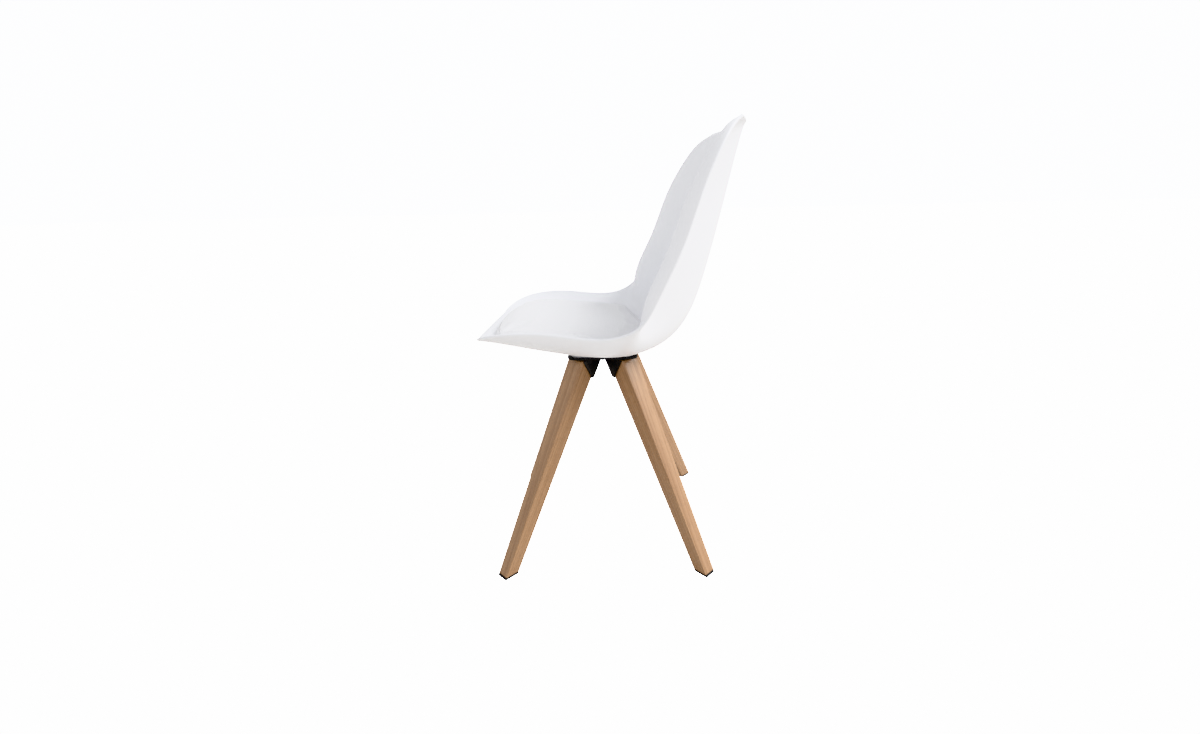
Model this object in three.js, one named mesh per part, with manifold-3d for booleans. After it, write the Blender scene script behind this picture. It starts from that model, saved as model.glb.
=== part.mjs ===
// A side chair: a moulded plastic bucket shell with a padded seat, on four splayed
// wooden legs held by folded steel brackets under a square steel plate.
// Millimetres, +Z up. The sitter faces -Y, and +X is the sitter's left hand.
// The origin lies on the floor, under the middle of the chair's length and width.

import * as THREE from 'three';
import { mergeVertices } from 'three/addons/utils/BufferGeometryUtils.js';
import Module from 'manifold-3d';

const wasm = await Module();
wasm.setup();

// ---- Driving dimensions ----------------------------------------------------------

const GAP = 0.3; // clearance between two pieces that touch

// The shell is lofted through these stations, from the front lip to the top lip.
// spine is [y, z] on the middle of the inner face, edge is the rim, and shoulder is
// the handle that swings the section forward between the two. All are [x, y, z].
const STATIONS = [
  { name: 'front lip', spine: [-231, 436], shoulder: [88, -230, 437], edge: [126, -217, 447] },
  { name: 'front corner', spine: [-208, 440], shoulder: [140, -206, 442], edge: [172, -199, 461] },
  { name: 'seat front', spine: [-156, 428], shoulder: [172, -156, 436], edge: [200, -156, 473] },
  { name: 'seat middle', spine: [-74, 410], shoulder: [180, -74, 418], edge: [210, -84, 475] },
  { name: 'seat rear', spine: [20, 397], shoulder: [188, 14, 416], edge: [219, -2, 467] },
  { name: 'hip', spine: [108, 406], shoulder: [199, 42, 447], edge: [231, 63, 486] },
  { name: 'low back', spine: [166, 460], shoulder: [206, 17, 512], edge: [239, 101, 542] },
  { name: 'middle back', spine: [200, 556], shoulder: [205, 52, 590], edge: [237, 135, 614] },
  { name: 'high back', spine: [226, 660], shoulder: [193, 91, 680], edge: [227, 162, 689] },
  { name: 'upper corner', spine: [243, 734], shoulder: [177, 137, 745], edge: [211, 187, 747] },
  { name: 'top corner', spine: [255, 784], shoulder: [150, 186, 794], edge: [180, 212, 787] },
  { name: 'top lip', spine: [262, 808], shoulder: [92, 250, 810], edge: [134, 233, 807] },
];
const SPINE_HANDLE = 0.45; // level handle of a section, as a share of the shoulder's x
const SHELL_WALL = 5;
const SHELL_GRID = [18, 40]; // facets across and along the shell

const PAD = {
  along: [0.105, 0.458], // stretch of the loft that the pad covers, front to rear
  across: 0.8, // share of the half section
  roundness: 0.7, // how far the plan's corners are drawn in, from 0 to 1
  floor: 6.5, // height of its underside over the shell
  edge: 10, // thickness at its edge
  crown: 33, // thickness added in the middle
  grid: [14, 18],
};
const BOARD = { shrink: 0.9, floor: 1, thickness: 4, grid: [8, 10] };

const PLATE = { side: 136, corner: 18, thickness: 3, top: 388 };
const SEAT_BOLT = { reach: 48, hole: 3.4, shank: 3, head: 5.5, headHeight: 3.6, grip: 10.5 };
const WASHER = { inner: 3.3, outer: 7, thickness: 1.2 };
const BOSS_RADIUS = 10;
const BOSS_INSERT = { inner: 3.2, outer: 5, length: 6 };

const LEG = {
  footReach: 263, // from the middle of the chair to the middle of the foot
  topReach: 52.5,
  footSide: 25,
  topSide: 40.5,
  edgeRadius: 2.5,
};
const GLIDE = { height: 3.5, overhang: 0.4, recess: 1.9 };
const NAIL = { head: 3, headHeight: 1, shank: 1.2, length: 14 };

const BRACKET = { sheet: 3, drop: 37, cheekFoot: 8, flangeStart: 24.5, flangeEnd: 68 };
const RIVET = { reach: 48, hole: 2.8, shank: 2.5, head: 4.5, headHeight: 2 };
const LEG_BOLT = { spread: 9, drop: 18, hole: 3.4, shank: 3, head: 5, headHeight: 3.4, grip: 16 };
const LEG_INSERT = { inner: 3.2, outer: 4.6, length: 13 };

const ROUND = 12; // facets round a bolt, ring or post

const PLATE_UNDERSIDE = PLATE.top - PLATE.thickness;
const FLANGE_TOP = PLATE_UNDERSIDE - GAP;
const FLANGE_UNDERSIDE = FLANGE_TOP - BRACKET.sheet;
const LEG_TOP = FLANGE_UNDERSIDE - GAP;
const LEG_FOOT = GLIDE.height + GAP;
const LEG_TILT = Math.atan2(LEG.footReach - LEG.topReach, LEG_TOP);

// ---- Materials -------------------------------------------------------------------

const finish = (color, roughness, metalness) => () =>
  new THREE.MeshStandardMaterial({ color, roughness, metalness });

const whitePlastic = finish(0xf1f2f4, 0.38, 0);
const whiteLeather = finish(0xf0f0f1, 0.5, 0);
const plywood = finish(0xcfae83, 0.7, 0);
const beech = finish(0xc79a6b, 0.55, 0);
const blackSteel = finish(0x17181a, 0.5, 0.6);
const zincSteel = finish(0x9da0a3, 0.35, 0.9);
const brass = finish(0xb9934c, 0.35, 0.9);
const blackPlastic = finish(0x1b1b1c, 0.6, 0);

// ---- Solids ----------------------------------------------------------------------

/** A closed geometry whose shared corners are merged. */
function welded(geometry) {
  const bare = geometry.clone();
  bare.deleteAttribute('normal');
  bare.deleteAttribute('uv');
  return mergeVertices(bare, 1e-4);
}

function toSolid(geometry) {
  const closed = welded(geometry);
  return new wasm.Manifold(
    new wasm.Mesh({
      numProp: 3,
      vertProperties: new Float32Array(closed.attributes.position.array),
      triVerts: new Uint32Array(closed.index.array),
    }),
  );
}

function toGeometry(solid) {
  const mesh = solid.getMesh();
  const geometry = new THREE.BufferGeometry();
  geometry.setAttribute('position', new THREE.BufferAttribute(mesh.vertProperties, 3));
  geometry.setIndex(new THREE.BufferAttribute(mesh.triVerts, 1));
  geometry.computeVertexNormals();
  return geometry;
}

function cut(geometry, tools) {
  const rest = tools.reduce((solid, tool) => solid.subtract(toSolid(tool)), toSolid(geometry));
  return toGeometry(rest);
}

function joined(geometries) {
  const [first, ...others] = geometries.map(toSolid);
  return toGeometry(others.reduce((solid, other) => solid.add(other), first));
}

/** Moves every corner of a geometry through a function of its position. */
function bent(geometry, place) {
  const closed = welded(geometry);
  const corners = closed.attributes.position;
  const corner = new THREE.Vector3();
  for (let i = 0; i < corners.count; i += 1) {
    corner.copy(place(corner.fromBufferAttribute(corners, i)));
    corners.setXYZ(i, corner.x, corner.y, corner.z);
  }
  closed.computeVertexNormals();
  return closed;
}

/** An upright cylinder from z = bottom to z = top. */
function post(radius, bottom, top, sides = ROUND) {
  const geometry = new THREE.CylinderGeometry(radius, radius, top - bottom, sides);
  geometry.rotateX(Math.PI / 2);
  return geometry.translate(0, 0, (bottom + top) / 2);
}

/** A body turned about Z from [radius, z] points that run upwards on its outside. */
function turned(section) {
  const geometry = new THREE.LatheGeometry(section.map(([r, z]) => new THREE.Vector2(r, z)), ROUND);
  return geometry.rotateX(Math.PI / 2);
}

/** A threaded insert or a washer: a plain ring from z = bottom to z = bottom + height. */
function ring(inner, outer, bottom, height) {
  const top = bottom + height;
  return turned([[inner, bottom], [outer, bottom], [outer, top], [inner, top], [inner, bottom]]);
}

/** A domed socket bolt: head above z = 0, shank below it, hexagon socket in the head. */
function bolt({ shank, head, headHeight, grip }) {
  const body = turned([
    [0, -grip],
    [shank, -grip],
    [shank, 0],
    [head, 0],
    [head * 0.93, headHeight * 0.55],
    [head * 0.6, headHeight],
    [0, headHeight],
  ]);
  const socket = post(head * 0.45, headHeight * 0.35, headHeight + 1, 6);
  return cut(body, [socket]);
}

/** A centred square shape with rounded corners. */
function roundedSquare(side, radius) {
  const corner = side / 2 - radius;
  const shape = new THREE.Shape();
  for (const [x, y, start] of [[1, -1, -90], [1, 1, 0], [-1, 1, 90], [-1, -1, 180]]) {
    const from = THREE.MathUtils.degToRad(start);
    shape.absarc(x * corner, y * corner, radius, from, from + Math.PI / 2, false);
  }
  shape.closePath();
  return shape;
}

function extruded(shape, depth, curveSegments = 3) {
  return new THREE.ExtrudeGeometry(shape, { depth, bevelEnabled: false, curveSegments });
}

// ---- The shell's surface ---------------------------------------------------------

const vector = (values) => new THREE.Vector3(...values);
const guide = (points) => new THREE.CatmullRomCurve3(points.map(vector), false, 'catmullrom', 0.5);

const spineGuide = guide(STATIONS.map(({ spine }) => [0, ...spine]));
const shoulderGuide = guide(STATIONS.map(({ shoulder }) => shoulder));
const edgeGuide = guide(STATIONS.map(({ edge }) => edge));

/**
 * A point on the shell's inner face. along runs from 0 at the front lip to 1 at the top
 * lip, and across from -1 at one rim, through 0 on the spine, to 1 at the other rim.
 * A half section is a Bezier curve that leaves the spine level and ends on the rim.
 */
function innerPoint(across, along) {
  const spine = spineGuide.getPoint(along);
  const shoulder = shoulderGuide.getPoint(along);
  const level = new THREE.Vector3(shoulder.x * SPINE_HANDLE, spine.y, spine.z);
  const half = new THREE.CubicBezierCurve3(spine, level, shoulder, edgeGuide.getPoint(along));
  const point = half.getPoint(Math.abs(across));
  point.x *= Math.sign(across);
  return point;
}

/** The direction square to the inner face, towards the sitter. */
function innerNormal(across, along) {
  const step = 0.002;
  const level = THREE.MathUtils.clamp(along, step, 1 - step);
  const side = THREE.MathUtils.clamp(across, step - 1, 1 - step);
  const sideways = innerPoint(side + step, level).sub(innerPoint(side - step, level));
  const upwards = innerPoint(side, level + step).sub(innerPoint(side, level - step));
  return sideways.cross(upwards).normalize();
}

function overShell(across, along, height) {
  return innerPoint(across, along).addScaledVector(innerNormal(across, along), height);
}

// ---- Seat ------------------------------------------------------------------------

const seatBoltSpots = [
  ['front', 0, -SEAT_BOLT.reach],
  ['rear', 0, SEAT_BOLT.reach],
  ['left', SEAT_BOLT.reach, 0],
  ['right', -SEAT_BOLT.reach, 0],
];

/** The bucket shell: a flat slab bent over the loft, with a boss for each seat bolt. */
function shellGeometry() {
  const slab = new THREE.BoxGeometry(2, 1, 1, ...SHELL_GRID, 1);
  const skin = bent(slab, ({ x, y, z }) => overShell(x, y + 0.5, (z - 0.5) * SHELL_WALL));
  // The bosses are cut off inside the wall by a block that fills the seat above it.
  const filling = bent(new THREE.BoxGeometry(1, 0.4, 1, 10, 12, 1), ({ x, y, z }) =>
    overShell(x, y + 0.32, (z + 0.5) * 40 - SHELL_WALL / 2));
  const bosses = seatBoltSpots.map(([, x, y]) =>
    cut(post(BOSS_RADIUS, PLATE.top + GAP, PLATE.top + 25).translate(x, y, 0), [filling]));
  const bores = seatBoltSpots.map(([, x, y]) => {
    const boreTop = PLATE.top + GAP + BOSS_INSERT.length + GAP;
    return post(BOSS_INSERT.outer + GAP, PLATE.top - 1, boreTop).translate(x, y, 0);
  });
  return cut(joined([skin, ...bosses]), bores);
}

/** Where the padding lies on the loft, for a square plan whose corners are drawn in. */
function padPlan(x, y, shrink) {
  const [front, rear] = PAD.along;
  const sideways = x * Math.sqrt(1 - (PAD.roundness * y * y) / 2) * shrink;
  const lengthwise = y * Math.sqrt(1 - (PAD.roundness * x * x) / 2) * shrink;
  return [sideways * PAD.across, (front + rear + lengthwise * (rear - front)) / 2];
}

/** The cushion, thickest in the middle, over the board. */
function padGeometry() {
  const slab = new THREE.BoxGeometry(2, 2, 1, ...PAD.grid, 1);
  return bent(slab, ({ x, y, z }) => {
    const thickness = PAD.edge + PAD.crown * (1 - x ** 2) * (1 - y ** 4);
    return overShell(...padPlan(x, y, 1), PAD.floor + (z + 0.5) * thickness);
  });
}

/** The thin board that the cushion is stapled to, shaped to the shell. */
function boardGeometry() {
  const slab = new THREE.BoxGeometry(2, 2, 1, ...BOARD.grid, 1);
  return bent(slab, ({ x, y, z }) =>
    overShell(...padPlan(x, y, BOARD.shrink), BOARD.floor + (z + 0.5) * BOARD.thickness));
}

// ---- Steel plate and seat bolts --------------------------------------------------

const LEG_TURNS = { front_left: -45, front_right: -135, rear_left: 45, rear_right: 135 };

function plateGeometry() {
  const bores = seatBoltSpots.map(([, x, y]) =>
    post(SEAT_BOLT.hole, PLATE_UNDERSIDE - 1, PLATE.top + 1).translate(x, y, 0));
  const rivetBores = Object.values(LEG_TURNS).map((turn) => {
    const bore = post(RIVET.hole, PLATE_UNDERSIDE - 1, PLATE.top + 1);
    return bore.translate(RIVET.reach, 0, 0).rotateZ(THREE.MathUtils.degToRad(turn));
  });
  const sheet = extruded(roundedSquare(PLATE.side, PLATE.corner), PLATE.thickness, 6);
  return cut(sheet.translate(0, 0, PLATE_UNDERSIDE), [...bores, ...rivetBores]);
}

/** A bolt from below, its washer, and the threaded insert that it pulls on. */
function seatBoltParts([place, x, y]) {
  const washerTop = PLATE_UNDERSIDE - GAP;
  const washer = ring(WASHER.inner, WASHER.outer, washerTop - WASHER.thickness, WASHER.thickness);
  const insert = ring(BOSS_INSERT.inner, BOSS_INSERT.outer, PLATE.top + GAP, BOSS_INSERT.length);
  const headSeat = washerTop - WASHER.thickness - GAP;
  const screw = bolt(SEAT_BOLT).rotateX(Math.PI).translate(0, 0, headSeat);
  const group = new THREE.Group();
  group.position.set(x, y, 0);
  group.add(
    piece(`seat_bolt_${place}`, screw, blackSteel),
    piece(`seat_washer_${place}`, washer, zincSteel),
    piece(`shell_insert_${place}`, insert, brass),
  );
  return group;
}

// ---- One leg and what it carries -------------------------------------------------
// Each is drawn with +X pointing outwards, away from the middle of the chair.

const legReach = (z) => THREE.MathUtils.mapLinear(z, 0, LEG_TOP, LEG.footReach, LEG.topReach);
const legSide = (z) => THREE.MathUtils.mapLinear(z, 0, LEG_TOP, LEG.footSide, LEG.topSide);

/**
 * A point of the leg's level section at height z. outward and sideways run from -0.5 to
 * 0.5 over the section, which is square to the leaning axis, and margin widens it.
 */
function legPoint(outward, sideways, z, margin = 0) {
  const side = legSide(z) + 2 * margin;
  return new THREE.Vector3(legReach(z) + (outward * side) / Math.cos(LEG_TILT), sideways * side, z);
}

/** A tapered square bar that leans inwards, cut level at both ends. */
function leaningBar(bottom, top, margin, edge) {
  const bar = extruded(roundedSquare(1, edge), 1);
  return bent(bar, ({ x, y, z }) => legPoint(x, y, bottom + z * (top - bottom), margin));
}

/** Puts a piece drawn about +Z on the leg's inner face, with +Z pointing out of it. */
function onInnerFace(geometry, sideways, standOff = 0) {
  const z = LEG_TOP - LEG_BOLT.drop;
  const face = legPoint(-0.5, 0, z);
  const tilt = Math.atan2(legPoint(-0.5, 0, 0).x - legPoint(-0.5, 0, LEG_TOP).x, LEG_TOP);
  geometry.translate(0, 0, standOff);
  geometry.rotateY(-Math.PI / 2 - tilt);
  return geometry.translate(face.x, sideways, z);
}

function legGeometry() {
  const bar = leaningBar(LEG_FOOT, LEG_TOP, 0, LEG.edgeRadius / LEG.topSide);
  const bores = [-1, 1].map((side) =>
    onInnerFace(post(LEG_INSERT.outer + GAP, -20, 5), side * LEG_BOLT.spread));
  const nailBore = post(NAIL.shank + GAP, 0, LEG_FOOT + NAIL.length).translate(LEG.footReach, 0, 0);
  // The rivet's lower head sits in a recess in the leg's end.
  const recessFloor = LEG_TOP - RIVET.headHeight - 2 * GAP;
  const rivetRecess = post(RIVET.head + 2 * GAP, recessFloor, LEG_TOP + 1).translate(RIVET.reach, 0, 0);
  return cut(bar, [...bores, nailBore, rivetRecess]);
}

/**
 * The bracket folded round the top of a leg: a flange under the plate, a web down the
 * leg's inner face, and a cheek on each side that tapers towards the web's foot.
 */
function bracketGeometry() {
  const margin = GAP + BRACKET.sheet;
  const foot = LEG_TOP - BRACKET.drop;
  const sleeve = leaningBar(foot, FLANGE_UNDERSIDE + 1, margin, 0.02);
  const hollow = leaningBar(foot - 1, FLANGE_UNDERSIDE, GAP, 0.02);
  const webFoot = legPoint(-0.5, 0, foot, margin).x;
  const cheekTop = legPoint(0.5, 0, LEG_TOP, GAP).x - 2;
  // Everything outside the slanting line from the web's foot to the cheek's top is cut away.
  const waste = new THREE.Shape([
    [webFoot + BRACKET.cheekFoot, foot - 5],
    [LEG.footReach, foot - 5],
    [LEG.footReach, FLANGE_TOP + 5],
    [BRACKET.flangeEnd - 1, FLANGE_TOP + 5],
    [BRACKET.flangeEnd - 1, FLANGE_UNDERSIDE],
    [cheekTop, FLANGE_UNDERSIDE],
    [webFoot + BRACKET.cheekFoot, foot + 4],
  ].map(([x, y]) => new THREE.Vector2(x, y)));
  const wasteBlock = extruded(waste, 2 * LEG.topSide).rotateX(Math.PI / 2).translate(0, LEG.topSide, 0);
  const flangeLength = BRACKET.flangeEnd - BRACKET.flangeStart;
  const flangeWidth = legSide(LEG_TOP) + 2 * margin;
  const flange = new THREE.BoxGeometry(flangeLength, flangeWidth, BRACKET.sheet);
  flange.translate(BRACKET.flangeStart + flangeLength / 2, 0, FLANGE_TOP - BRACKET.sheet / 2);
  const boltBores = [-1, 1].map((side) =>
    onInnerFace(post(LEG_BOLT.hole, -5, 12), side * LEG_BOLT.spread));
  const rivetBore = post(RIVET.hole, FLANGE_UNDERSIDE - 1, FLANGE_TOP + 1).translate(RIVET.reach, 0, 0);
  const folded = cut(sleeve, [hollow, wasteBlock]);
  return cut(joined([folded, flange]), [...boltBores, rivetBore]);
}

/** A rivet through the flange and the plate, with a head on each side. */
function rivetGeometry() {
  const bottom = FLANGE_UNDERSIDE - GAP;
  const top = PLATE.top + GAP;
  return turned([
    [0, bottom - RIVET.headHeight],
    [RIVET.head * 0.6, bottom - RIVET.headHeight],
    [RIVET.head, bottom],
    [RIVET.shank, bottom],
    [RIVET.shank, top],
    [RIVET.head, top],
    [RIVET.head * 0.6, top + RIVET.headHeight],
    [0, top + RIVET.headHeight],
  ]).translate(RIVET.reach, 0, 0);
}

/** The foot's plastic pad, with a recess for the nail's head and a hole for its shank. */
function glideGeometry() {
  const pad = leaningBar(0, GLIDE.height, GLIDE.overhang, 0.1);
  const recess = post(NAIL.head + GAP, -1, GLIDE.recess).translate(LEG.footReach, 0, 0);
  const hole = post(NAIL.shank + GAP, 0, GLIDE.height + 1).translate(LEG.footReach, 0, 0);
  return cut(pad, [recess, hole]);
}

function nailGeometry() {
  const headTop = GLIDE.recess - GAP;
  return turned([
    [0, headTop - NAIL.headHeight],
    [NAIL.head, headTop - NAIL.headHeight],
    [NAIL.head, headTop],
    [NAIL.shank, headTop],
    [NAIL.shank, headTop + NAIL.length - 3],
    [0, headTop + NAIL.length],
  ]).translate(LEG.footReach, 0, 0);
}

function legBoltParts(name, sideways) {
  const insert = ring(LEG_INSERT.inner, LEG_INSERT.outer, -LEG_INSERT.length - GAP, LEG_INSERT.length);
  const headSeat = BRACKET.sheet + 3 * GAP;
  return [
    piece(`leg_bolt_${name}`, onInnerFace(bolt(LEG_BOLT), sideways, headSeat), blackSteel),
    piece(`leg_insert_${name}`, onInnerFace(insert, sideways), brass),
  ];
}

function legParts([place, turn]) {
  const group = new THREE.Group();
  group.rotation.z = THREE.MathUtils.degToRad(turn);
  group.add(
    piece(`leg_${place}`, legGeometry(), beech),
    piece(`leg_bracket_${place}`, bracketGeometry(), blackSteel),
    piece(`bracket_rivet_${place}`, rivetGeometry(), blackSteel),
    ...legBoltParts(`${place}_1`, -LEG_BOLT.spread),
    ...legBoltParts(`${place}_2`, LEG_BOLT.spread),
    piece(`glide_${place}`, glideGeometry(), blackPlastic),
    piece(`glide_nail_${place}`, nailGeometry(), zincSteel),
  );
  return group;
}

// ---- Assembly --------------------------------------------------------------------

function piece(name, geometry, material) {
  const mesh = new THREE.Mesh(geometry, material());
  mesh.name = name;
  return mesh;
}

const chair = new THREE.Group();
chair.add(
  piece('seat_shell', shellGeometry(), whitePlastic),
  piece('seat_board', boardGeometry(), plywood),
  piece('seat_pad', padGeometry(), whiteLeather),
  piece('mounting_plate', plateGeometry(), blackSteel),
  ...seatBoltSpots.map(seatBoltParts),
  ...Object.entries(LEG_TURNS).map(legParts),
);

// The legs and the loft are drawn about the middle of the feet; the whole chair is then
// slid along Y to put the origin under the middle of its length.
const outline = new THREE.Box3().setFromObject(chair);
chair.position.y = -(outline.min.y + outline.max.y) / 2;

export default chair;
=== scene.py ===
"""A side chair: a moulded bucket shell with a padded seat, on four splayed wooden legs.

Everything is in metres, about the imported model's origin on the floor. The sitter faces -Y,
and +X is the sitter's left hand. The surfaces are worked out with numpy as whole arrays.
"""

import math

import bmesh
import bpy
import numpy as np
from mathutils import Matrix, Vector


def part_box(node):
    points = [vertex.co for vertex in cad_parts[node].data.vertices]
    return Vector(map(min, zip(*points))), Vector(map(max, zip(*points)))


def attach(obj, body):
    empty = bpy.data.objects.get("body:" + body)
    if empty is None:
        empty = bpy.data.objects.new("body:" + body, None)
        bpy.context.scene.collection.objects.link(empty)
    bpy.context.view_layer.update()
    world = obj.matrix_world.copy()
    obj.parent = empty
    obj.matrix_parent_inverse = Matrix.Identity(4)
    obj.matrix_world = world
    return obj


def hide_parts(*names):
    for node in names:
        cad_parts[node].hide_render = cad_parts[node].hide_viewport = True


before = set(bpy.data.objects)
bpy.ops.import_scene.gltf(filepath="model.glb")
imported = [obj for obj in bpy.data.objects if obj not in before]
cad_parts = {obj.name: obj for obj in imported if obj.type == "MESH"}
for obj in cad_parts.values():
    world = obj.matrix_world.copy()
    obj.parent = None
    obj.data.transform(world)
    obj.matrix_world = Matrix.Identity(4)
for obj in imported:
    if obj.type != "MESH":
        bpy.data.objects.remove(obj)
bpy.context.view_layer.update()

MM = 0.001
GAP = 0.3 * MM

# ---- Driving dimensions --------------------------------------------------------------

# The shell is lofted through these stations, from the front lip to the top lip. Each has
# a point on the spine, the handle that swings the section forward, and a point on the rim.
STATIONS = MM * np.array([
    [[0, -231, 436], [88, -230, 437], [126, -217, 447]],
    [[0, -208, 440], [140, -206, 442], [172, -199, 461]],
    [[0, -156, 428], [172, -156, 436], [200, -156, 473]],
    [[0, -74, 410], [180, -74, 418], [210, -84, 475]],
    [[0, 20, 397], [188, 14, 416], [219, -2, 467]],
    [[0, 108, 406], [199, 42, 447], [231, 63, 486]],
    [[0, 166, 460], [206, 17, 512], [239, 101, 542]],
    [[0, 200, 556], [205, 52, 590], [237, 135, 614]],
    [[0, 226, 660], [193, 91, 680], [227, 162, 689]],
    [[0, 243, 734], [177, 137, 745], [211, 187, 747]],
    [[0, 255, 784], [150, 186, 794], [180, 212, 787]],
    [[0, 262, 808], [92, 250, 810], [134, 233, 807]],
])
SPINE_HANDLE = 0.45
SHELL_WALL = 5 * MM

PAD_ALONG = (0.105, 0.458)
PAD_ACROSS = 0.8
PAD_ROUNDNESS = 0.7
PAD_FLOOR = 6.5 * MM
PAD_EDGE = 10 * MM
PAD_CROWN = 33 * MM
PAD_SHOULDER = 0.93  # share of the plan at which the top begins to round over
PAD_REACH = 1.16  # how far the cover's own coordinate runs past the plan's outline
PAD_TUCK = 0.035  # share of the plan by which the cover turns under the edge
PAD_UNDERSIDE = 0.915  # share of the plan that the flat underside covers
COVER_HEM = 0.8 * MM  # height of the cover's lowest fold over the shell
SEAM_AT = 0.955  # the cover's own coordinate on the seam
SEAM_WIDTH = 0.0055
SEAM_DEPTH = 1.5 * MM
PUCKER_HEIGHT = 0.16 * MM
PUCKER_SPREAD = 0.028
SWELL_CAP = 6 * MM
TRIAL_COUNT = 61
COVER_COUNT = 241
STITCH_AT = 0.925
STITCH_PITCH = 5 * MM
STITCH_LENGTH = 3.6 * MM
STITCH_RADIUS = 0.38 * MM

LEG_FOOT_REACH = 263 * MM
LEG_TOP_REACH = 52.5 * MM
LEG_FOOT_SIDE = 25 * MM
LEG_TOP_SIDE = 40.5 * MM
LEG_EDGE_RADIUS = 2.5 * MM
LEG_END_EASE = 0.8 * MM
LEG_TURNS = {"front_left": -45, "front_right": -135, "rear_left": 45, "rear_right": 135}
LEG_BOLT_DROP = 18 * MM
LEG_BOLT_SPREAD = 9 * MM
BRACKET_SHEET = 3 * MM

# Fasteners. Radii first, then heights.
SEAT_BOLT = {"shank": 3 * MM, "head": 5.5 * MM, "head_height": 3.6 * MM, "grip": 10.5 * MM}
LEG_BOLT = {"shank": 3 * MM, "head": 5 * MM, "head_height": 3.4 * MM, "grip": 16 * MM}
WASHER_INNER, WASHER_OUTER, WASHER_THICKNESS = 3.3 * MM, 7 * MM, 1.2 * MM
INSERT_BORE = 3.2 * MM
BOSS_INSERT_RADIUS, BOSS_INSERT_LENGTH = 5 * MM, 6 * MM
LEG_INSERT_RADIUS, LEG_INSERT_LENGTH = 4.6 * MM, 13 * MM
RIVET_REACH, RIVET_HEAD, RIVET_SHANK, RIVET_HEAD_HEIGHT = 48 * MM, 4.5 * MM, 2.5 * MM, 2 * MM
NAIL_HEAD, NAIL_SHANK, NAIL_LENGTH, NAIL_HEAD_TOP = 3 * MM, 1.2 * MM, 14 * MM, 1.6 * MM
THREAD_PITCH, THREAD_DEPTH = 1 * MM, 0.45 * MM

# The model was drawn about the middle of the feet and then slid along Y.
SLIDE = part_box("seat_shell")[0].y - STATIONS[0, 0, 1]
PLATE_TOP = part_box("mounting_plate")[1].z
PLATE_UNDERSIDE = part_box("mounting_plate")[0].z
LEG_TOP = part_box("leg_front_left")[1].z
LEG_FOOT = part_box("leg_front_left")[0].z
LEG_TILT = math.atan2(LEG_FOOT_REACH - LEG_TOP_REACH, LEG_TOP)
STATIONS[..., 1] += SLIDE

SEAT_BOLT_REACH = 48 * MM
SEAT_BOLT_SPOTS = {
    "front": (0, -SEAT_BOLT_REACH),
    "rear": (0, SEAT_BOLT_REACH),
    "left": (SEAT_BOLT_REACH, 0),
    "right": (-SEAT_BOLT_REACH, 0),
}


# ---- Meshes ------------------------------------------------------------------------


def unit(vectors):
    """Each vector over its own length."""
    return vectors / np.linalg.norm(vectors, axis=-1, keepdims=True)


def new_piece(name, points, faces, material, replaced=()):
    """A smooth-shaded piece on the chair's one body, from an (n, 3) array and face arrays."""
    mesh = bpy.data.meshes.new(name)
    mesh.from_pydata(points.reshape(-1, 3).tolist(), [], [f for part in faces for f in part.tolist()])
    mesh.update()
    mesh.polygons.foreach_set("use_smooth", np.ones(len(mesh.polygons), dtype=bool))
    return placed(bpy.data.objects.new(name, mesh), material, replaced)


def placed(piece, material, replaced=()):
    """Links a piece, gives it its material, and lets it stand for CAD nodes."""
    if piece.name not in bpy.context.scene.collection.objects:
        bpy.context.scene.collection.objects.link(piece)
    piece.data.materials.clear()
    piece.data.materials.append(material)
    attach(piece, "root")
    if replaced:
        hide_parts(*replaced)
    return piece


def grid_faces(across, along, start=0, flipped=False):
    """Quads of an across x along grid of points, seen counter-clockwise from its front."""
    i, j = np.meshgrid(np.arange(across - 1), np.arange(along - 1), indexing="ij")
    corner = (start + i * along + j).ravel()
    quads = np.stack([corner, corner + along, corner + along + 1, corner + 1], axis=1)
    return quads[:, ::-1] if flipped else quads


def border(across, along):
    """Indices of a grid's border, once round, counter-clockwise."""
    i, j = np.arange(across), np.arange(along)
    return np.concatenate([
        i[:-1] * along,
        i[-1] * along + j[:-1],
        i[:0:-1] * along + along - 1,
        j[:0:-1],
    ])


def band_faces(loops):
    """Quads between each two neighbouring closed loops of indices, given from the top down."""
    upper, lower = loops[:-1], loops[1:]
    quads = [np.roll(upper, -1, axis=1), upper, lower, np.roll(lower, -1, axis=1)]
    return np.stack(quads, axis=-1).reshape(-1, 4)


def closed_sheet(upper, rings, lower):
    """Points and faces of a thick sheet: two grids over one plan, joined round their border
    by rings of points, each of which runs once round as the grids' border does."""
    across, along = upper.shape[:2]
    edge = border(across, along)
    count = across * along
    ring_start = 2 * count
    ring_loops = ring_start + np.arange(rings.shape[0] * len(edge)).reshape(rings.shape[0], len(edge))
    loops = np.concatenate([edge[None], ring_loops, edge[None] + count])
    points = np.concatenate([part.reshape(-1, 3) for part in (upper, lower, rings)])
    faces = [
        grid_faces(across, along),
        grid_faces(across, along, count, flipped=True),
        band_faces(loops),
    ]
    return points, faces


def stacked_loops(loops, closed=True):
    """Points and faces of closed loops (n, m, 3) given from the top down, with a fan of
    triangles to the middle of the first and of the last. A ring's last loop is joined back
    to its first instead."""
    rows, size = loops.shape[:2]
    points = loops.reshape(-1, 3)
    order = np.arange(rows * size).reshape(rows, size)
    faces = [band_faces(order if closed else np.vstack([order, order[:1]]))]
    if closed:
        middles = np.stack([loops[0].mean(axis=0), loops[-1].mean(axis=0)])
        points = np.concatenate([points, middles])
        top, bottom = np.arange(size), (rows - 1) * size + np.arange(size)
        centre = np.full(size, rows * size)
        faces.append(np.stack([centre, top, np.roll(top, -1)], axis=1))
        faces.append(np.stack([centre + 1, np.roll(bottom, -1), bottom], axis=1))
    return points, faces


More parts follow.
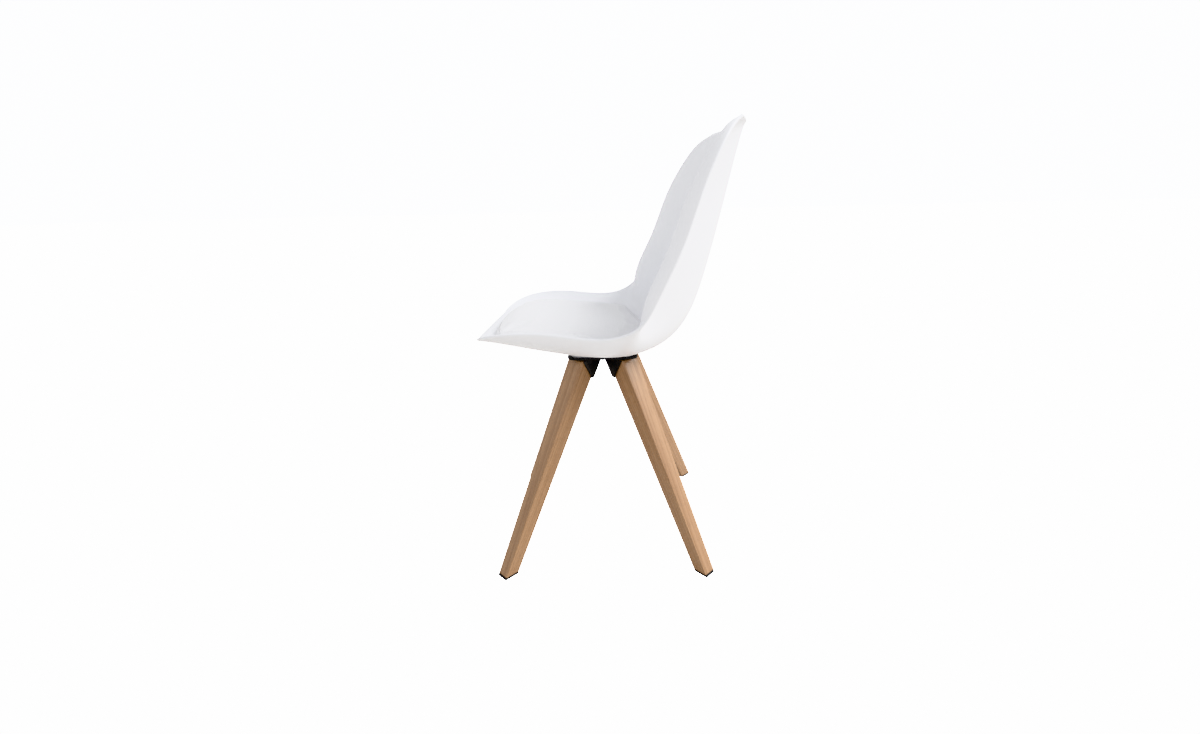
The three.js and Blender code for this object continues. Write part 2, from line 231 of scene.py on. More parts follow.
def merged(parts):
    """One set of points and faces from several."""
    points, faces, start = [], [], 0
    for some_points, some_faces in parts:
        points.append(some_points)
        faces += [face + start for face in some_faces]
        start += len(some_points)
    return np.concatenate(points), faces


def moved(points, matrix):
    """Points (..., 3) through a 4 x 4 matrix."""
    m = np.array(matrix)
    return points @ m[:3, :3].T + m[:3, 3]


def turned(profile, sides=48):
    """Loops turned about Z from (radius, height) points given from the top down."""
    angle = np.linspace(0, 2 * math.pi, sides, endpoint=False)
    radius, height = np.array(profile).T
    return np.stack([
        radius[:, None] * np.cos(angle),
        radius[:, None] * np.sin(angle),
        np.broadcast_to(height[:, None], (len(radius), sides)),
    ], axis=-1)


def applied(piece):
    """Turns a piece's modifiers into its mesh."""
    evaluated = piece.evaluated_get(bpy.context.evaluated_depsgraph_get())
    mesh = bpy.data.meshes.new_from_object(evaluated)
    piece.modifiers.clear()
    piece.data = mesh
    return piece


# ---- The shell's surface -------------------------------------------------------------


def bending(points):
    """Second differences of the natural cubic spline through evenly spaced points."""
    count = len(points)
    system = np.eye(count)
    inner = np.arange(1, count - 1)
    system[inner, inner - 1] = system[inner, inner + 1] = 1
    system[inner, inner] = 4
    right = np.zeros_like(points)
    right[1:-1] = 6 * (points[:-2] - 2 * points[1:-1] + points[2:])
    return np.linalg.solve(system, right.reshape(count, -1)).reshape(points.shape)


STATION_BENDING = bending(STATIONS)


def guides(along):
    """The three guide curves at along, 0 to 1: natural cubic splines through the stations."""
    place = np.clip(np.asarray(along, dtype=float), 0, 1) * (len(STATIONS) - 1)
    first = np.minimum(place.astype(int), len(STATIONS) - 2)
    u = (place - first)[..., None, None]
    v = 1 - u
    chord = v * STATIONS[first] + u * STATIONS[first + 1]
    bow = (v**3 - v) * STATION_BENDING[first] + (u**3 - u) * STATION_BENDING[first + 1]
    return chord + bow / 6


def shell_face(across, along):
    """The shell's inner face. A half section is the Bezier curve (1-t)^3 spine + 3(1-t)^2 t
    level + 3(1-t)t^2 shoulder + t^3 rim with t = |across|, mirrored for across below 0."""
    across, along = np.broadcast_arrays(across, along)
    spine, shoulder, rim = np.moveaxis(guides(along), -2, 0)
    level = spine.copy()
    level[..., 0] = SPINE_HANDLE * shoulder[..., 0]
    t = np.abs(across)[..., None]
    point = (1 - t)**3 * spine + 3 * (1 - t)**2 * t * level + 3 * (1 - t) * t**2 * shoulder + t**3 * rim
    point[..., 0] *= np.where(across < 0, -1, 1)
    return point


def shell_normal(across, along):
    """Square to the inner face, towards the sitter: the cross product of its two slopes. It
    is read a little inside the four corners, where the two slopes run side by side."""
    step = 0.002
    pull = 1 - 0.05 * np.abs(across * (2 * along - 1))**8
    side, level = np.clip(across * pull, step - 1, 1 - step), 0.5 + (along - 0.5) * pull
    level = np.clip(level, step, 1 - step)
    sideways = shell_face(side + step, level) - shell_face(side - step, level)
    upwards = shell_face(side, level + step) - shell_face(side, level - step)
    return unit(np.cross(sideways, upwards))


def over_shell(across, along, height):
    """A point at a height over the shell's inner face."""
    return shell_face(across, along) + shell_normal(across, along) * np.asarray(height)[..., None]


def under_shell(x, y, depth):
    """Height of the surface at a depth under the inner face over plan points, by Newton's
    steps in the shell's own two directions."""
    across, along = x / (200 * MM), 0.32 + y / (900 * MM)
    step = 1e-4
    for _ in range(8):
        here = over_shell(across, along, -depth + 0 * across)
        by_across = (over_shell(across + step, along, -depth + 0 * across) - here) / step
        by_along = (over_shell(across, along + step, -depth + 0 * across) - here) / step
        miss_x, miss_y = x - here[..., 0], y - here[..., 1]
        area = by_across[..., 0] * by_along[..., 1] - by_along[..., 0] * by_across[..., 1]
        across = across + (miss_x * by_along[..., 1] - miss_y * by_along[..., 0]) / area
        along = along + (miss_y * by_across[..., 0] - miss_x * by_across[..., 1]) / area
    return here[..., 2]


def shell_sheet():
    """The wall: inner and outer face over one plan, and a half-round bead as the rim."""
    bead = SHELL_WALL / 2
    half_width, length = 220 * MM, 900 * MM
    x, y = np.meshgrid(np.linspace(-1, 1, 97), np.linspace(-1, 1, 221), indexing="ij")
    # The two faces stop short of the rim by the bead's radius.
    across, along = x * (1 - bead / half_width), 0.5 + y * (0.5 - bead / length)
    inner = shell_face(across, along)
    normal = shell_normal(across, along)
    outer = inner - SHELL_WALL * normal
    edge = border(*x.shape)
    middle = ((inner + outer) / 2).reshape(-1, 3)[edge]
    up = normal.reshape(-1, 3)[edge]
    onwards = unit(np.roll(middle, -1, axis=0) - np.roll(middle, 1, axis=0))
    outwards = unit(np.cross(onwards, up))
    swing = np.linspace(0, math.pi, 9)[1:-1, None, None]
    rings = middle + bead * (np.cos(swing) * up + np.sin(swing) * outwards)
    return closed_sheet(inner, rings, outer)


def rounded_square(side, radius, steps=6, per_side=1):
    """Plan points of a square with round corners, counter-clockwise: quarter circles of the
    radius about (side/2 - radius) in each corner, with straight stretches cut evenly."""
    corner = side / 2 - radius
    points = []
    for quarter in range(4):
        angle = math.radians(90 * quarter) + np.linspace(0, math.pi / 2, steps + 1)
        centre = corner * np.array([[1, 1], [-1, 1], [-1, -1], [1, -1]][quarter])
        arc = centre + radius * np.stack([np.cos(angle), np.sin(angle)], axis=1)
        ahead = [
            [-corner, side / 2],
            [-side / 2, -corner],
            [corner, -side / 2],
            [side / 2, corner],
        ][quarter]
        share = np.linspace(0, 1, per_side + 1)[1:-1, None]
        points += [arc, arc[-1] + share * (np.array(ahead) - arc[-1])]
    return np.concatenate(points)


def wall_ring(inner, outer, bottom):
    """A closed wall between two plan outlines, from a level foot up into the shell."""
    depth = SHELL_WALL / 2
    loops = []
    for outline, high in ((inner, True), (outer, True), (outer, False), (inner, False)):
        x, y = outline[:, 0], outline[:, 1] + SLIDE
        height = under_shell(x, y, depth) if high else bottom
        loops.append(np.column_stack([x, y, np.broadcast_to(height, len(outline))]))
    return stacked_loops(np.stack(loops), closed=False)


def rib(start, end, thickness, bottom):
    """A thin upright plate between two plan points, from a level foot up into the shell."""
    start, end = np.array(start), np.array(end)
    run = np.linspace(0, 1, 9)[:, None]
    line = start + run * (end - start)
    aside = thickness / 2 * unit(np.array([[-(end - start)[1], (end - start)[0]]]))
    outline = np.concatenate([line + aside, (line - aside)[::-1]])
    top = under_shell(outline[:, 0], outline[:, 1], SHELL_WALL / 2)
    high = np.column_stack([outline, top])
    low = np.column_stack([outline, np.full(len(outline), bottom)])
    count = len(outline)
    points = np.concatenate([high, low])
    half = count // 2
    i = np.arange(half - 1)
    lid = np.stack([i, count - 1 - i, count - 2 - i, i + 1], axis=1)
    sides = band_faces(np.arange(2 * count).reshape(2, count)[:, ::-1])
    return points, [lid, (lid + count)[:, ::-1], sides]


def boss(x, y, bottom):
    """A round post that flares into the shell, with the threaded insert's bore in its foot."""
    y = y + SLIDE
    top = float(under_shell(np.array([x]), np.array([y]), SHELL_WALL / 2)[0])
    bore, depth = BOSS_INSERT_RADIUS + GAP, BOSS_INSERT_LENGTH + 2 * GAP
    radius, flare, ease = 10 * MM, 4 * MM, 0.4 * MM
    swing = np.linspace(0, math.pi / 2, 6)
    fillet = [(radius + flare * (1 - math.sin(a)), top - flare * (1 - math.cos(a))) for a in swing]
    profile = [
        *fillet,
        (radius, bottom + 2 * ease),
        (radius - 1.5 * ease, bottom),
        (bore + ease, bottom),
        (bore, bottom + ease),
        (bore, bottom + depth),
    ]
    return stacked_loops(turned(profile, 40) + np.array([x, y, 0]))


def make_shell(material):
    """The bucket shell with its rim bead, and the bosses and ribs moulded under the seat."""
    foot = PLATE_TOP + GAP
    skirt_side, skirt_corner, skirt_wall = 122 * MM, 16 * MM, 3 * MM
    outer = rounded_square(skirt_side, skirt_corner, 6, 12)
    inner = rounded_square(skirt_side - 2 * skirt_wall, skirt_corner - skirt_wall, 6, 12)
    parts = [shell_sheet(), wall_ring(inner, outer, foot)]
    parts += [boss(x, y, foot) for x, y in SEAT_BOLT_SPOTS.values()]
    hub = SEAT_BOLT_REACH - 9 * MM  # the ribs stop inside the bosses' walls
    thickness = 2.4 * MM
    rib_foot = foot + 2.6 * MM  # clear of the bracket rivets' heads
    near, far = 3 * MM, 51.5 * MM
    parts.append(rib((-hub, SLIDE), (hub, SLIDE), thickness, rib_foot))
    parts.append(rib((0, SLIDE - hub), (0, SLIDE + hub), thickness, rib_foot))
    for x, y in ((1, 1), (1, -1), (-1, 1), (-1, -1)):
        start, end = (x * near, SLIDE + y * near), (x * far, SLIDE + y * far)
        parts.append(rib(start, end, thickness, rib_foot))
    points, faces = merged(parts)
    return new_piece("shell_moulding", points, faces, material, ["seat_shell"])


# ---- The padded seat -----------------------------------------------------------------


def pad_plan(x, y):
    """Where the padding lies on the loft: a square plan whose sides bow and corners draw in,
    across = x sqrt(1 - k y^2 / 2) and along the same with x and y changed over."""
    front, rear = PAD_ALONG
    sideways = x * np.sqrt(1 - PAD_ROUNDNESS * y * y / 2)
    lengthwise = y * np.sqrt(1 - PAD_ROUNDNESS * x * x / 2)
    return sideways * PAD_ACROSS, (front + rear + lengthwise * (rear - front)) / 2


def pad_cover(x, y):
    """The cover over the cushion. Its own square coordinates run past the plan: up to the
    shoulder it lies on the crowned top, next it rounds over in a quarter ellipse to the
    plan's outline, and then it turns under the edge in another to the hem."""
    reach = np.maximum(np.maximum(np.abs(x), np.abs(y)), 1e-9)
    over = np.clip((reach - PAD_SHOULDER) / (1 - PAD_SHOULDER), 0, 1)
    under = np.clip((reach - 1) / (PAD_REACH - 1), 0, 1)
    swing_over, swing_under = over * math.pi / 2, under * math.pi / 2
    plan = np.where(
        reach < PAD_SHOULDER,
        reach,
        PAD_SHOULDER + (1 - PAD_SHOULDER) * np.sin(swing_over),
    )
    plan = plan - PAD_TUCK * (1 - np.cos(swing_under))
    ax, ay = x / reach * plan, y / reach * plan
    crown = PAD_EDGE + PAD_CROWN * (1 - ax**2) * (1 - ay**4)
    top = PAD_FLOOR + crown
    waist = 0.55 * (PAD_FLOOR + PAD_EDGE)
    height = np.where(
        reach < 1,
        waist + (top - waist) * np.cos(swing_over),
        COVER_HEM + (waist - COVER_HEM) * (1 - np.sin(swing_under)),
    )
    return over_shell(*pad_plan(ax, ay), height)


def pad_grid(count):
    """Square coordinates of the cover, evenly spaced, (count, count) each."""
    line = np.linspace(-PAD_REACH, PAD_REACH, count)
    return np.meshgrid(line, line, indexing="ij")


def closed_cushion(x, y, cover):
    """Points and faces of the closed cushion: the cover, a fold that rises inside its hem, and
    a flat underside level with the top of the board."""
    share = PAD_UNDERSIDE / PAD_REACH
    flat = over_shell(*pad_plan(x * share, y * share), PAD_FLOOR + 0 * x)
    edge = border(*x.shape)
    hem, seat = cover.reshape(-1, 3)[edge], flat.reshape(-1, 3)[edge]
    rings = hem + np.array([0.35, 0.7])[:, None, None] * (seat - hem)
    return closed_sheet(cover, rings, flat)


def swollen_cover(count):
    """How far each point of the cover's grid moves as the foam presses it out: a cloth with
    air pressure in it, held at its hem and underside, and capped."""
    x, y = pad_grid(count)
    points, faces = closed_cushion(x, y, pad_cover(x, y))
    mesh = bpy.data.meshes.new("cushion_trial")
    mesh.from_pydata(points.tolist(), [], [f for part in faces for f in part.tolist()])
    trial = bpy.data.objects.new("cushion_trial", mesh)
    scene = bpy.context.scene
    scene.collection.objects.link(trial)
    held = trial.vertex_groups.new(name="held")
    reach = np.maximum(np.abs(x), np.abs(y)).ravel()
    cover_count = count * count
    fixed = np.concatenate([np.flatnonzero(reach > 1.06), np.arange(cover_count, len(points))])
    held.add(fixed.tolist(), 1.0, "REPLACE")
    cloth = trial.modifiers.new("cloth", "CLOTH")
    settings = cloth.settings
    settings.quality = 6
    settings.mass = 0.35
    settings.tension_stiffness = settings.compression_stiffness = 22
    settings.shear_stiffness = 10
    settings.bending_stiffness = 3
    settings.use_pressure = True
    settings.uniform_pressure_force = 4
    settings.effector_weights.gravity = 0
    settings.vertex_group_mass = "held"
    cloth.collision_settings.use_collision = False
    cloth.collision_settings.use_self_collision = False
    for step in range(1, 21):
        scene.frame_set(step)
    done = trial.evaluated_get(bpy.context.evaluated_depsgraph_get()).to_mesh()
    after = np.empty(len(done.vertices) * 3)
    done.vertices.foreach_get("co", after)
    shift = after.reshape(-1, 3)[:cover_count] - points[:cover_count]
    scene.frame_set(1)
    bpy.data.objects.remove(trial)
    bpy.data.meshes.remove(mesh)
    length = np.maximum(np.linalg.norm(shift, axis=1, keepdims=True), 1e-9)
    return (shift * np.minimum(1, SWELL_CAP / length)).reshape(count, count, 3)


def resampled(field, x, y):
    """A grid of vectors read between its points, in both directions in proportion."""
    count = field.shape[0]
    place_x = np.clip((x / PAD_REACH + 1) / 2 * (count - 1), 0, count - 1.001)
    place_y = np.clip((y / PAD_REACH + 1) / 2 * (count - 1), 0, count - 1.001)
    i, j = place_x.astype(int), place_y.astype(int)
    u, v = (place_x - i)[..., None], (place_y - j)[..., None]
    near = (1 - v) * field[i, j] + v * field[i, j + 1]
    far = (1 - v) * field[i + 1, j] + v * field[i + 1, j + 1]
    return (1 - u) * near + u * far


def grid_normals(points):
    """Square to a grid of points, from the differences to its neighbours."""
    return unit(np.cross(np.gradient(points, axis=0), np.gradient(points, axis=1)))


def puckers(x, y, reach):
    """Small folds square to the seam: waves along it, which die away from it, of a length
    and height that drift, as a sum of sines with seeded phases."""
    angle = np.arctan2(y, x)
    random = np.random.default_rng(7)
    waves = np.zeros_like(angle)
    for count in (57, 83, 101, 139):
        waves += random.uniform(0.5, 1) * np.sin(count * angle + random.uniform(0, 2 * math.pi))
    return waves * np.exp(-((reach - SEAM_AT) / PUCKER_SPREAD)**2)


def gathered(place):
    """Grid lines drawn towards the seam, so that it is cut finely: each moves by a sine of its
    distance from the seam, which fades away as a bell curve."""
    off = np.abs(place) - SEAM_AT
    return place - 0.35 * 0.1 * np.sin(off / 0.1) * np.sign(place) * np.exp(-(off / 0.12)**2)


def cushion_surface(swell):
    """The finished cover: the pad's shape, swollen, with a sunk seam and its puckers."""
    x, y = pad_grid(COVER_COUNT)
    x, y = gathered(x), gathered(y)
    reach = np.maximum(np.abs(x), np.abs(y))
    cover = pad_cover(x, y) + resampled(swell, x, y)
    normal = grid_normals(cover)
    seam = np.exp(-((reach - SEAM_AT) / SEAM_WIDTH)**2)
    lift = -SEAM_DEPTH * seam + PUCKER_HEIGHT * puckers(x, y, reach)
    return x, y, cover + normal * lift[..., None]


def make_cushion(material, thread):
    """The cushion and the row of stitches that runs beside its seam."""
    swell = swollen_cover(TRIAL_COUNT)
    x, y, cover = cushion_surface(swell)
    points, faces = closed_cushion(x, y, cover)
    cushion = new_piece("seat_cushion", points, faces, material, ["seat_pad"])
    stitches(x, y, cover, thread)
    return cushion


def stitches(x, y, cover, material):
    """A row of short threads on the line where the cover's own coordinate is STITCH_AT: each
    is a small bowed bar, laid along the line at an even pitch."""
    line = np.linspace(-STITCH_AT, STITCH_AT, 400)
    ones = np.full(len(line) - 1, STITCH_AT)
    loop_x = np.concatenate([line[:-1], ones, line[:0:-1], -ones])
    loop_y = np.concatenate([-ones, line[:-1], ones, line[:0:-1]])
    # The swollen cover is read back at the line's places.
    axis = x[:, 0]
    count = np.arange(len(axis))
    i, j = np.interp(loop_x, axis, count), np.interp(loop_y, axis, count)
    i0, j0 = i.astype(int), j.astype(int)
    u, v = (i - i0)[:, None], (j - j0)[:, None]
    normal = grid_normals(cover)

    def read(field):
        near = (1 - v) * field[i0, j0] + v * field[i0, j0 + 1]
        far = (1 - v) * field[i0 + 1, j0] + v * field[i0 + 1, j0 + 1]
        return (1 - u) * near + u * far

    path, up = read(cover), read(normal)
    gaps = np.linalg.norm(np.roll(path, -1, axis=0) - path, axis=1)
    travel = np.concatenate([[0], np.cumsum(gaps)])
    count = int(travel[-1] / STITCH_PITCH)
    closed_path, closed_up = np.vstack([path, path[:1]]), np.vstack([up, up[:1]])

    def at(values, where):
        return np.stack([np.interp(where, travel, values[:, k]) for k in range(3)], axis=-1)

    centre = (np.arange(count) + 0.5) * travel[-1] / count
    along = np.linspace(-0.5, 0.5, 5)
    where = centre[:, None] + along * STITCH_LENGTH
    spine, lift = at(closed_path, where), unit(at(closed_up, where))
    height = STITCH_RADIUS * (1.1 - 5.2 * along**2)
    spine = spine + lift * height[None, :, None]
    onwards = unit(np.gradient(spine, axis=1))
    aside = unit(np.cross(onwards, lift))
    lift = np.cross(aside, onwards)
    sides = 6
    angle = np.linspace(0, 2 * math.pi, sides, endpoint=False)
    girth = STITCH_RADIUS * np.sqrt(np.maximum(0, 1 - (1.9 * along)**4))
    round_it = np.cos(angle)[:, None] * aside[:, :, None] + np.sin(angle)[:, None] * lift[:, :, None]
    loops = spine[:, :, None] + girth[None, :, None, None] * round_it
    rows = np.arange(len(along) * sides).reshape(len(along), sides)
    one = band_faces(rows[:, ::-1])
    caps = np.stack([rows[0], rows[-1][::-1]])
    start = np.arange(count)[:, None, None] * len(along) * sides
    faces = [(one + start).reshape(-1, 4), (caps + start).reshape(-1, sides)]
    return new_piece("seat_stitching", loops, faces, material)


# ---- Legs ------------------------------------------------------------------------------
# Each is worked out with +X outwards from the middle of the chair, then turned into place.


def leg_reach(z):
    """Distance of the leg's middle from the chair's, at a height."""
    return LEG_FOOT_REACH + (LEG_TOP_REACH - LEG_FOOT_REACH) * z / LEG_TOP


def leg_side(z):
    """Side of the leg's square section, at a height."""
    return LEG_FOOT_SIDE + (LEG_TOP_SIDE - LEG_FOOT_SIDE) * z / LEG_TOP


def leg_points(outline, z, margin=0.0):
    """Unit-square plan points put on the leg's level section at a height: the section is
    widened outwards by 1 / cos(tilt), because the leg leans."""
    side = leg_side(z) + 2 * margin
    return np.stack([
        leg_reach(z) + outline[..., 0] * side / math.cos(LEG_TILT),
        outline[..., 1] * side,
        z + 0 * outline[..., 0],
    ], axis=-1)


def leg_matrix(place):
    """Turns a piece drawn towards +X onto its leg."""
    return Matrix.Translation((0, SLIDE, 0)) @ Matrix.Rotation(math.radians(LEG_TURNS[place]), 4, "Z")


def leaning_loops(bottom, top, rows):
    """Closed loops of a tapered square bar with round edges, from the top down; the bar is
    drawn in a little at each end by a quarter round."""
    ends = LEG_END_EASE
    outline = rounded_square(1, LEG_EDGE_RADIUS / LEG_TOP_SIDE, 5, 4)
    swing = np.linspace(math.pi / 2, 0, 5)
    top_z = top - ends * (1 - np.sin(swing))
    bottom_z = bottom + ends * (1 - np.sin(swing[::-1]))
    heights = np.concatenate([top_z, np.linspace(top_z[-1], bottom_z[0], rows)[1:-1], bottom_z])
    insets = ends * (1 - np.cos(swing))
    margins = np.concatenate([-insets, np.zeros(rows - 2), -insets[::-1]])
    return leg_points(outline[None], heights[:, None], margins[:, None])


def make_leg(place, number, material):
    """One wooden leg, with the coordinates of its own timber kept as an attribute."""
    points, faces = stacked_loops(leaning_loops(LEG_FOOT, LEG_TOP, 60))
    lean = Matrix.Rotation(LEG_TILT, 4, "Y")
    timber = moved(points - np.array([leg_reach(0), 0, 0]), lean)
    # Each leg is sawn from its own place in the plank, away from the pith.
    timber = timber + np.array([0.11 + 0.013 * number, 0.045 - 0.06 * number, 1.7 * number])
    piece = new_piece(f"leg_timber_{place}", moved(points, leg_matrix(place)), faces,
                      material, [f"leg_{place}"])
    grain = piece.data.attributes.new("timber", "FLOAT_VECTOR", "POINT")
    grain.data.foreach_set("vector", timber.ravel())
    return piece


def softened_copy(node, name, material, radius, segments=3):
    """A CAD node's mesh, merged, with its flat faces made whole and its edges rounded."""
    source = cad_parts[node]
    shape = bmesh.new()
    shape.from_mesh(source.data)
    bmesh.ops.remove_doubles(shape, verts=shape.verts, dist=0.02 * MM)
    bmesh.ops.dissolve_limit(shape, angle_limit=math.radians(2), verts=shape.verts, edges=shape.edges)
    mesh = bpy.data.meshes.new(name)
    shape.to_mesh(mesh)
    shape.free()
    piece = bpy.data.objects.new(name, mesh)
    placed(piece, material, [node])
    bevel = piece.modifiers.new("edges", "BEVEL")
    bevel.width = radius
    bevel.segments = segments
    bevel.limit_method = "ANGLE"
    bevel.angle_limit = math.radians(40)
    bevel.use_clamp_overlap = True
    applied(piece)
    piece.data.polygons.foreach_set("use_smooth", np.ones(len(piece.data.polygons), dtype=bool))
    piece.data.set_sharp_from_angle(angle=math.radians(35))
    return piece


# ---- Fasteners -------------------------------------------------------------------------


def inner_face(place, sideways, stand_off=0.0):
    """Puts a piece drawn about +Z on a leg's inner face, with +Z pointing out of it."""
    z = LEG_TOP - LEG_BOLT_DROP
    inwards = np.array([-0.5, 0.0])
    face = leg_points(inwards, z)
    foot, top = leg_points(inwards, 0.0), leg_points(inwards, LEG_TOP)
    tilt = math.atan2(foot[0] - top[0], LEG_TOP)
    return (leg_matrix(place) @ Matrix.Translation((face[0], sideways, z))
            @ Matrix.Rotation(-math.pi / 2 - tilt, 4, "Y")
            @ Matrix.Translation((0, 0, stand_off)))


def six_sided(angle, across_flats):
    """Radius of a hexagon in a direction: half its width over the cosine to the nearest flat."""
    nearest = np.mod(angle, math.pi / 3) - math.pi / 6
    return across_flats / 2 / np.cos(nearest)


def bolt_loops(shank, head, head_height, grip, sides=48):
    """A domed socket bolt from the top down: the socket's floor and hexagon walls, the dome
    as an ellipse, the underside, and the shank with its thread as fine ridges."""
    angle = np.linspace(0, 2 * math.pi, sides, endpoint=False)
    hexagon = six_sided(angle, head * 0.78)
    crown_at = math.pi / 2 * 0.62  # swing at which the dome meets the socket
    depth = head_height * 0.62
    circle = np.ones(sides)
    radii, heights = [], []
    for radius, height in (
        (hexagon * 0.6, head_height - depth - 0.25 * MM),
        (hexagon * 0.97, head_height - depth),
        (hexagon, head_height - depth + 0.1 * MM),
        (hexagon, head_height - 0.25 * MM),
        (hexagon + 0.2 * MM, head_height - 0.03 * MM),
    ):
        radii.append(radius)
        heights.append(height)
    for swing in np.linspace(crown_at, 0, 7):
        rise = math.sin(swing) / math.sin(crown_at)
        radii.append(circle * head * math.cos(swing)**0.9)
        heights.append(head_height * (0.18 + 0.82 * rise) - 0.02 * MM)
    radii += [circle * head, circle * (head - 0.25 * MM), circle * shank]
    heights += [0.25 * MM, 0.0, 0.0]
    turns = int((grip - 1.5 * MM) / (THREAD_PITCH / 2))
    for step in range(turns):
        radii.append(circle * (shank - (THREAD_DEPTH if step % 2 else 0)))
        heights.append(-1 * MM - step * THREAD_PITCH / 2)
    radii += [circle * (shank - 0.6 * MM)]
    heights += [-grip]
    radii, heights = np.array(radii), np.array(heights)
    return np.stack([radii * np.cos(angle), radii * np.sin(angle),
                     heights[:, None] + 0 * angle], axis=-1)


def ring_profile(inner, outer, bottom, height, ease):
    """A ring's section with eased corners, once round, from the top down on its outside."""
    top = bottom + height
    return [
        (inner, top - ease), (inner + ease, top), (outer - ease, top), (outer, top - ease),
        (outer, bottom + ease), (outer - ease, bottom), (inner + ease, bottom), (inner, bottom + ease),
    ]


def knurled_ring(inner, outer, bottom, height):
    """An insert: a ring whose outside is cut with fine upright ridges."""
    loops = turned(ring_profile(inner, outer, bottom, height, 0.3 * MM), 72)
    ridge = np.where(np.arange(72) % 2, 1.0, 0.955)
    outside = (np.hypot(loops[..., 0], loops[..., 1]) > outer - 0.1 * MM)[..., None]
    scale = np.where(outside, ridge[None, :, None], 1.0) * np.array([1, 1, 0]) + np.array([0, 0, 1])
    return loops * scale


def fastener(node, loops, matrix, material, closed=True):
    """A turned piece in the place of a CAD node."""
    points, faces = stacked_loops(loops, closed)
    piece = new_piece(f"{node}_turned", moved(points, matrix), faces, material, [node])
    piece.data.set_sharp_from_angle(angle=math.radians(38))
    return piece


def make_seat_fixings(finish):
    """The four bolts from below, with their washers and the inserts in the shell's bosses."""
    washer_top = PLATE_UNDERSIDE - GAP
    washer_bottom = washer_top - WASHER_THICKNESS
    washer = turned(
        ring_profile(WASHER_INNER, WASHER_OUTER, washer_bottom, WASHER_THICKNESS, 0.2 * MM), 56)
    insert = knurled_ring(INSERT_BORE, BOSS_INSERT_RADIUS, PLATE_TOP + GAP, BOSS_INSERT_LENGTH)
    screw = bolt_loops(**SEAT_BOLT)
    head_seat = washer_bottom - GAP
    for spot, (x, y) in SEAT_BOLT_SPOTS.items():
        here = Matrix.Translation((x, y + SLIDE, 0))
        down = here @ Matrix.Translation((0, 0, head_seat)) @ Matrix.Rotation(math.pi, 4, "X")
        fastener(f"seat_bolt_{spot}", screw, down, finish["black_steel"])
        fastener(f"seat_washer_{spot}", washer, here, finish["zinc_steel"], False)
        fastener(f"shell_insert_{spot}", insert, here, finish["brass"], False)


def make_leg_fixings(place, finish):
    """A leg's two bolts and their inserts, the bracket's rivet, and the glide's nail."""
    screw = bolt_loops(**LEG_BOLT)
    insert = knurled_ring(INSERT_BORE, LEG_INSERT_RADIUS, -LEG_INSERT_LENGTH - GAP, LEG_INSERT_LENGTH)
    for number, side in ((1, -LEG_BOLT_SPREAD), (2, LEG_BOLT_SPREAD)):
        on_bracket = inner_face(place, side, BRACKET_SHEET + 3 * GAP)
        in_leg = inner_face(place, side)
        fastener(f"leg_bolt_{place}_{number}", screw, on_bracket, finish["black_steel"])
        fastener(f"leg_insert_{place}_{number}", insert, in_leg, finish["brass"], False)
    here = leg_matrix(place)
    bottom, top = PLATE_UNDERSIDE - GAP - BRACKET_SHEET - GAP, PLATE_TOP + GAP
    swing = np.linspace(0.15, math.pi / 2, 8)
    dome = [(RIVET_HEAD * math.sin(a), RIVET_HEAD_HEIGHT * math.cos(a)) for a in swing]
    rivet = [
        *((radius, top + height) for radius, height in dome),
        (RIVET_SHANK, top),
        (RIVET_SHANK, bottom),
        *((radius, bottom - height) for radius, height in dome[::-1]),
    ]
    at_rivet = here @ Matrix.Translation((RIVET_REACH, 0, 0))
    fastener(f"bracket_rivet_{place}", turned(rivet, 40), at_rivet,
             finish["black_steel"])
    nail = [
        (0.25 * MM, NAIL_HEAD_TOP + NAIL_LENGTH),
        (NAIL_SHANK, NAIL_HEAD_TOP + NAIL_LENGTH - 3 * MM),
        (NAIL_SHANK, NAIL_HEAD_TOP),
        (NAIL_HEAD - 0.1 * MM, NAIL_HEAD_TOP),
        (NAIL_HEAD, NAIL_HEAD_TOP - 0.2 * MM),
        (NAIL_HEAD - 0.1 * MM, NAIL_HEAD_TOP - 0.8 * MM),
        (NAIL_HEAD - 0.6 * MM, NAIL_HEAD_TOP - 1 * MM),
    ]
    at_nail = here @ Matrix.Translation((LEG_FOOT_REACH, 0, 0))
    fastener(f"glide_nail_{place}", turned(nail, 32), at_nail, finish["zinc_steel"])


# ---- Shader node groups ------------------------------------------------------------------


class Wiring:
    """Adds nodes to a tree and joins them."""

    def __init__(self, tree):
        self.tree = tree

    def add(self, kind, values=None, **settings):
        """A node with its settings, and its inputs set to values or joined to sockets."""
        node = self.tree.nodes.new(kind)
        for name, value in settings.items():
            setattr(node, name, value)
        for name, value in (values or {}).items():
            self.feed(node, name, value)
        return node

    def feed(self, node, name, value):
        if isinstance(value, bpy.types.NodeSocket):
            self.tree.links.new(value, node.inputs[name])
        else:
            node.inputs[name].default_value = value

    def maths(self, operation, *values):
        node = self.tree.nodes.new("ShaderNodeMath")
        node.operation = operation
        for index, value in enumerate(values):
            self.feed(node, index, value)
        return node.outputs[0]

    def noise(self, vector, scale, detail=2.0, roughness=0.5, distortion=0.0):
        values = {"Vector": vector, "Scale": scale, "Detail": detail,
                  "Roughness": roughness, "Distortion": distortion}
        return self.add("ShaderNodeTexNoise", values).outputs[0]

    def stretched(self, vector, scale):
        return self.add("ShaderNodeVectorMath", {0: vector, 1: scale}, operation="MULTIPLY").outputs[0]

    def remapped(self, value, low, high, to_low=0.0, to_high=1.0):
        values = {"Value": value, "From Min": low, "From Max": high,
                  "To Min": to_low, "To Max": to_high}
        return self.add("ShaderNodeMapRange", values).outputs[0]

    def mixed(self, share, first, second):
        node = self.add("ShaderNodeMix", data_type="RGBA")
        for index, value in ((0, share), (6, first), (7, second)):
            self.feed(node, index, value)
        return node.outputs[2]


